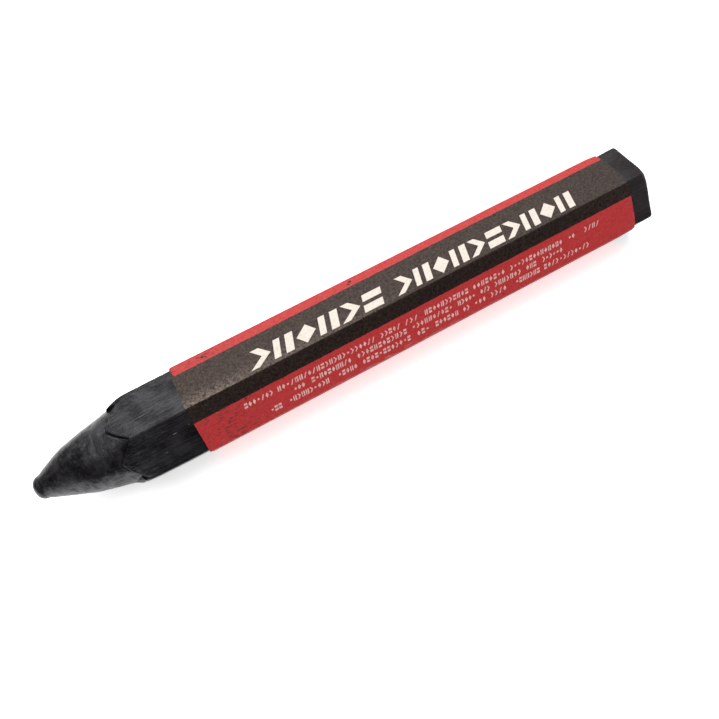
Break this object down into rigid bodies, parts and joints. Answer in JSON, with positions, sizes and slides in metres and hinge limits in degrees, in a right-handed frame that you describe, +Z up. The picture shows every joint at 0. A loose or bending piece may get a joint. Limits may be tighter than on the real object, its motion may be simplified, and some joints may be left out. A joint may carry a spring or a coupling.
{
  "type": "hexagonal marking crayon",
  "caption": "Black hexagonal wax marking crayon with a blunt bullet point, wrapped in a wound and pasted paper label, for marking timber, stone and metal.",
  "frame": {"origin": "on the surface that the crayon lies on, under the middle of its overall box", "axes": "+X along the stick from the point towards the butt end, +Y across it towards the back, +Z up, square to the flat that it lies on"},
  "size_m": [0.104, 0.0154, 0.0135],
  "materials": {
    "black_wax": "dull, slightly greasy moulded wax with fine drag lines along the stick",
    "printed_paper": "uncoated paper printed with red and dark brown bands, lightly scuffed along its edges",
    "dry_paste": "thin dry starch paste"
  },
  "bodies": {
    "root": {"wax_stick": "black_wax", "label_paste_film": "dry_paste", "paper_label": "printed_paper", "lap_paste_strip": "dry_paste"}
  },
  "joints": []
}
